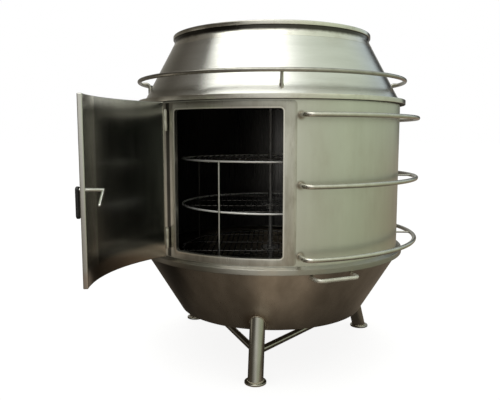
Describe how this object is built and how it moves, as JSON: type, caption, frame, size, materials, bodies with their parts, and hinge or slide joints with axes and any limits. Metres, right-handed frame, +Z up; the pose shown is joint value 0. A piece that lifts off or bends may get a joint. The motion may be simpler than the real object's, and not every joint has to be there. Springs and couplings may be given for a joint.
{
  "type": "poultry roasting oven",
  "caption": "Free-standing round stainless roasting oven on splayed legs, with a curved side door, a turning stack of wire racks, guard rails and a lift-off lid.",
  "frame": {"origin": "on the floor, under the drum's upright axis", "axes": "+Z up along the drum's axis, -Y towards the front, +X to the right seen from the front"},
  "size_m": [1.2631, 1.5166, 1.3983],
  "materials": {
    "drum_steel": "brushed stainless sheet with weld stains",
    "liner_steel": "smoke-darkened stainless sheet",
    "bowl_steel": "brushed stainless sheet with heat tint",
    "door_steel": "bright rolled stainless sheet",
    "rail_steel": "polished stainless rod",
    "leg_steel": "satin stainless pipe",
    "fitting_steel": "machined stainless",
    "rack_wire": "bright wire",
    "grip_black": "moulded black grip",
    "grate_iron": "raw cast iron",
    "bush_brass": "turned brass",
    "blanket": "ceramic fibre blanket"
  },
  "bodies": {
    "oven": {"outer_shell": "drum_steel", "inner_liner": "liner_steel", "insulation_blanket": "blanket", "door_frame": "drum_steel", "lower_ring": "drum_steel", "upper_flange": "drum_steel", "hood": "drum_steel", "mouth_rim": "drum_steel", "fire_bowl": "bowl_steel", "fire_grate": "grate_iron", "drip_tray": "liner_steel", "bowl_handle_front": "rail_steel", "bowl_handle_rear": "rail_steel", "leg_front": "leg_steel", "leg_right": "leg_steel", "leg_left": "leg_steel", "foot_front": "leg_steel", "foot_right": "leg_steel", "foot_left": "leg_steel", "brace_right": "leg_steel", "brace_rear": "leg_steel", "brace_left": "leg_steel", "side_rail_low": "rail_steel", "side_rail_middle": "rail_steel", "side_rail_high": "rail_steel", "rail_standoffs": "rail_steel", "hood_rail": "rail_steel", "hood_rail_brackets": "rail_steel", "hinge_leaf_lower": "fitting_steel", "hinge_leaf_upper": "fitting_steel", "hinge_pin_lower": "fitting_steel", "hinge_pin_upper": "fitting_steel", "lower_cross_bar": "fitting_steel", "pivot_cup": "fitting_steel", "upper_cross_bar": "fitting_steel", "shaft_bush": "bush_brass"},
    "door": {"door_outer_skin": "door_steel", "door_inner_skin": "door_steel", "door_edge_channel": "door_steel", "door_blanket": "blanket", "hinge_strap_lower": "fitting_steel", "hinge_strap_upper": "fitting_steel", "latch_rose": "fitting_steel"},
    "latch": {"latch_spindle": "fitting_steel", "latch_lever": "grip_black", "latch_tongue": "fitting_steel"},
    "carousel": {"carousel_shaft": "fitting_steel", "rack_low": "rack_wire", "rack_middle": "rack_wire", "rack_high": "rack_wire", "rack_hub_low": "fitting_steel", "rack_hub_middle": "fitting_steel", "rack_hub_high": "fitting_steel", "rack_posts": "rack_wire"},
    "lid": {"lid": "drum_steel", "lid_handle": "rail_steel"}
  },
  "joints": [
    {"name": "door_swing", "type": "hinge", "parent": "oven", "child": "door", "pos_m": [-0.39603, -0.40156, 0.76], "axis": [0, 0, 1], "range_deg": [-55, 90.5]},
    {"name": "latch_turn", "type": "hinge", "parent": "door", "child": "latch", "pos_m": [-0.55792, -0.79571, 0.762], "axis": [-1, 0.0096, 0], "range_deg": [-45, 45]},
    {"name": "carousel_spin", "type": "hinge", "parent": "oven", "child": "carousel", "pos_m": [0, 0, 0.6], "axis": [0, 0, 1], "continuous": true},
    {"name": "lid_lift", "type": "slide", "parent": "oven", "child": "lid", "axis": [0, 0, 1], "range_m": [0, 0.25]}
  ]
}
